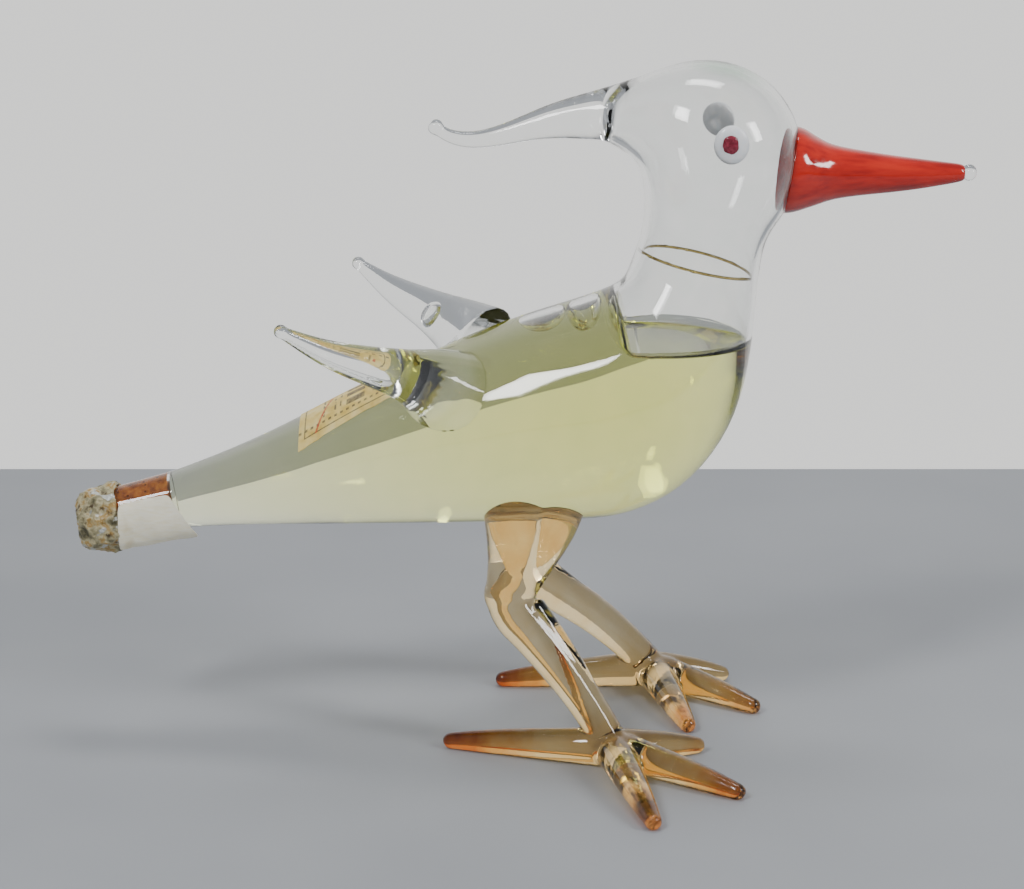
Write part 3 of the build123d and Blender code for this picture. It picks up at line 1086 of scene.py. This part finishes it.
# %% [markdown]
# ### Printed gold label
#
# The print is worked out from a place on the label: along the tail and across it. A thin frame, a
# row of dots, a red diagonal and some dark blocks stand for a label's usual parts; there is no
# lettering. Each mark is a stripe, or two stripes multiplied.

# %% Masks for the print
gold_label, principled = surface("printed_gold_label_paper", {"Roughness": 0.45})
run = sums(gold_label, "SUBTRACT", along(gold_label, "X"), LABEL_START)
across_label = along(gold_label, "Y")
MIDDLE = (LABEL_LENGTH / 2, 0)


def rectangle(centre, size):
    """1 inside a rectangle on the label, in millimetres."""
    one = stripe(gold_label, run, centre[0], size[0])
    other = stripe(gold_label, across_label, centre[1], size[1])
    return sums(gold_label, "MULTIPLY", one, other)


def either(*parts):
    """The strongest of some masks."""
    total = parts[0]
    for part in parts[1:]:
        total = sums(gold_label, "MAXIMUM", total, part)
    return total


frame_line = sums(gold_label, "SUBTRACT", rectangle(MIDDLE, (14.6, 14.2)), rectangle(MIDDLE, (14.2, 13.8)))
wave_along = sums(gold_label, "SINE", sums(gold_label, "MULTIPLY", run, 6.0), 0)
dot_rows = either(*[stripe(gold_label, across_label, row, 0.45) for row in (-5.9, 5.9)])
dots = sums(gold_label, "MULTIPLY", dot_rows, sums(gold_label, "GREATER_THAN", wave_along, 0.1))
BLOCKS = ((-4.2, 1.5), (-1.9, 1.3), (0.3, 1.5), (2.6, 1.3))  # place across the label, and width
blocks = either(*[rectangle((10.0, place), (3.2, width)) for place, width in BLOCKS])
rows = either(*[stripe(gold_label, run, place, 0.35) for place in (4.4, 6.4, 7.4, 13.2)])
specks = sums(gold_label, "GREATER_THAN", noise(gold_label, 0.9, 1.0), 0.5)
fine_print = sums(gold_label, "MULTIPLY", rows, specks)
fine_print = sums(gold_label, "MULTIPLY", fine_print, rectangle(MIDDLE, (13, 10)))
slanted = sums(gold_label, "ADD", run, sums(gold_label, "MULTIPLY", across_label, -0.35))
diagonal = stripe(gold_label, slanted, 5.6, 0.4)
red_line = sums(gold_label, "MULTIPLY", diagonal, rectangle(MIDDLE, (14.6, 14.2)))
red_mark = either(red_line, rectangle((14.0, -2.6), (0.5, 1.8)))
print("marks in", len(gold_label.node_tree.nodes), "nodes")

# %% [markdown]
# ### Ink on gold paper
#
# The paper is gilt by a bronze powder print, so it is a warm yellow and not a mirror. The ink lies
# over it, and fine noise wears both away.

# %% Gold label
worn = noise(gold_label, 0.5, 4.0)
faded = between(gold_label, worn, 0.55, 1.0)
gilt = noise(gold_label, 2.5, 4.0)
paper = ramp(gold_label, gilt, (0.3, "#D6B654"), (0.5, "#EBD07A"), (0.7, "#F2DE98"))
dark_print = sums(gold_label, "MULTIPLY", either(frame_line, dots, blocks, fine_print), faded)
printed = mix(gold_label, dark_print, paper, "#4B4238")
printed = mix(gold_label, sums(gold_label, "MULTIPLY", red_mark, faded), printed, "#C63A22")
feed(
    gold_label, principled,
    colour=printed,
    roughness=between(gold_label, worn, 0.35, 0.6),
    height=(worn, 0.02),
)
print("label ready")

# %% [markdown]
# ## Putting the finishes on
#
# One table says which pieces share a finish. Clear glass is the same for the bottle, the wings and
# the drop, because they came from the same stock.

# %% Give every piece its finish
FINISHES = {
    clear_glass: ["blown_glass", "glass_wing_left", "glass_wing_right", "beak_drop"],
    liqueur_look: ["liqueur_fill"],
    amber_glass["left"]: ["glass_leg_left"],
    amber_glass["right"]: ["glass_leg_right"],
    red_glass: ["red_beak"],
    white_enamel: ["enamel_white_left", "enamel_white_right"],
    maroon_enamel: ["enamel_pupil_left", "enamel_pupil_right"],
    dried_look: ["dried_film"],
    cork_look: ["bottle_cork"],
    seal_look: ["crumpled_seal"],
    paper_look: ["cream_strip"],
    gold_label: ["gold_label"],
}
for material, names in FINISHES.items():
    for name in names:
        mesh = bpy.data.objects[name].data
        mesh.materials.clear()
        mesh.materials.append(material)
print(sum(len(names) for names in FINISHES.values()), "pieces have a finish")

# %% [markdown]
# ## Floor, light and camera
#
# Glass shows its surroundings, so the setting matters more than for any other material. A pale
# grey floor ends a little behind the bottle, and a brighter background starts there: the full
# bottle works as a lens and shows them upside down, dark above and bright below.

# %% Floor
FLOOR_WIDE, FLOOR_DEEP, REAR_EDGE = 8.0, 3.0, 0.175  # m
start_fresh()
bpy.ops.mesh.primitive_plane_add(size=1.0)
bpy.ops.object.mode_set(mode="EDIT")
bpy.ops.transform.resize(value=(FLOOR_WIDE, FLOOR_DEEP, 1.0))
bpy.ops.transform.translate(value=(0, REAR_EDGE - FLOOR_DEEP / 2, -0.05 * MM))
bpy.ops.object.mode_set(mode="OBJECT")
floor = name_piece("floor")
floor_look, principled = surface("matt_grey_board", {"Roughness": 0.7})
board = ramp(floor_look, noise(floor_look, 60, 2.0), (0.3, "#999CA1"), (0.7, "#A1A4A8"))
feed(floor_look, principled, colour=board)
floor.data.materials.append(floor_look)
floor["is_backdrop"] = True
print("the floor ends", REAR_EDGE, "m behind the bird")

# %% [markdown]
# ## The room and its lamps
#
# The world's colour goes by direction: pale behind the bird, darker behind the camera. The wall of
# a clear bottle bends the darker side into its edges, and that is what draws its outline. Three
# soft rectangular lamps give the long highlights on the head and along the body.

# %% Room
scene = bpy.context.scene
world = bpy.data.worlds.new("studio")
scene.world = world
world.use_nodes = True
background = world.node_tree.nodes["Background"]
direction = add(world, "TexCoord").outputs["Generated"]
rearward = add(world, "SeparateXYZ", links={"Vector": direction}).outputs["Y"]
limits = {"From Min": 0.35, "From Max": 0.85}
sweep = add(world, "MapRange", limits, {"Value": rearward}, interpolation_type="SMOOTHSTEP")
room = mix(world, sweep.outputs["Result"], "#8E9094", "#F4F4F2")
world.node_tree.links.new(room, background.inputs["Color"])
background.inputs["Strength"].default_value = 1.25
print("room set")

# %% Lamps
AIM = Vector((0, 0, 0.06))
LAMPS = {  # place in metres, size in metres, watts
    "key": ((-0.45, -0.55, 0.75), (0.16, 0.3), 4.5),
    "fill": ((0.65, -0.35, 0.45), (0.14, 0.3), 3.0),
    "top": ((0.05, 0.15, 0.8), (0.3, 0.15), 1.5),
}
for name, (place, size, watts) in LAMPS.items():
    bpy.ops.object.light_add(type="AREA", location=place)
    lamp = bpy.context.object
    lamp.name = name
    lamp.data.shape = "RECTANGLE"
    lamp.data.size, lamp.data.size_y = size
    lamp.data.energy = watts
    lamp.rotation_euler = (AIM - Vector(place)).to_track_quat("-Z", "Y").to_euler()
    print(name, "lamp,", watts, "W")

# %% [markdown]
# ## Camera
#
# The camera looks square at the bird's side, 15 degrees down, through a long lens from half a metre.
# Light crosses many skins of glass and liqueur before it gets there, so it needs more bounces than
# usual.

# %% Camera
DOWN = 15
BOUNCES = 32
bpy.ops.object.camera_add(location=(-0.0021, -0.5071, 0.1888), rotation=(radians(90 - DOWN), 0, 0))
camera = bpy.context.object
camera.data.sensor_width = 36
camera.data.lens = 103.7
camera.data.dof.use_dof = False
scene.camera = camera
scene.cycles.max_bounces = BOUNCES
scene.cycles.transmission_bounces = BOUNCES
scene.cycles.transparent_max_bounces = BOUNCES
print("camera at", [round(value, 3) for value in camera.location])

# %% [markdown]
# ## Check the size and finish
#
# The box of the CAD part and the box of the visual are printed one under the other.

# %% Boxes of the CAD part and the visual
bpy.context.view_layer.update()
visual_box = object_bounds()
boxes = {"cad": [list(side) for side in cad_box], "visual": [list(side) for side in visual_box]}
for name, box in boxes.items():
    print(name, [[round(value / MM, 2) for value in side] for side in box])
